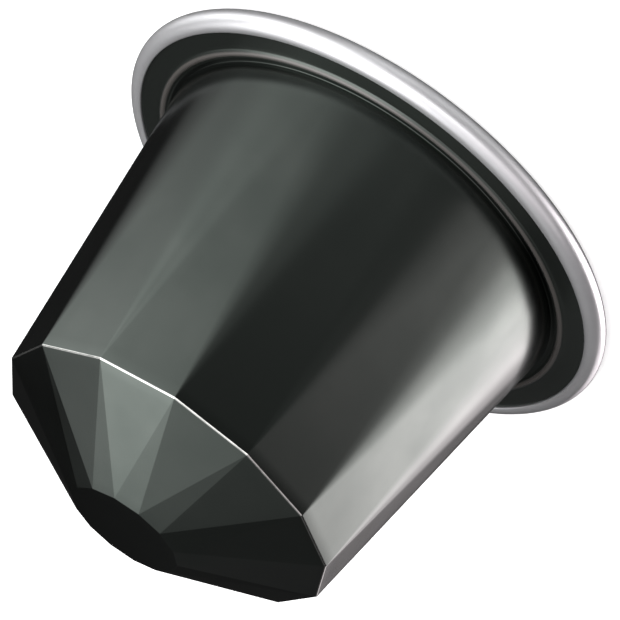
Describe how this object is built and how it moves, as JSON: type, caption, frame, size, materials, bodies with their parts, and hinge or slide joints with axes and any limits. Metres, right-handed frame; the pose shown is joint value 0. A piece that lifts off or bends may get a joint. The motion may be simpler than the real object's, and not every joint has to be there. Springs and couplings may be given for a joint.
{
  "type": "coffee pod",
  "caption": "Sealed coffee pod: a tapered cup with a faceted shoulder and dome, and a round flange with a sealing bead and a rolled edge, closed by a flat foil lid.",
  "frame": {"origin": "centre of the foil lid's outer face, which is also the bottom centre of the bounding box", "axes": "+Z is the pod's axis, from the lid up to the small end; +X points at one corner of the faceted shoulder; +Y completes the right-handed frame"},
  "size_m": [0.037, 0.037, 0.0278],
  "materials": {
    "black_lacquer": "semi-gloss greenish black lacquer on drawn aluminium",
    "bare_aluminium": "satin bare metal of the rolled edge",
    "lid_foil": "satin heat-sealed foil"
  },
  "bodies": {
    "root": {"sealed_pod": "black_lacquer"}
  },
  "joints": []
}
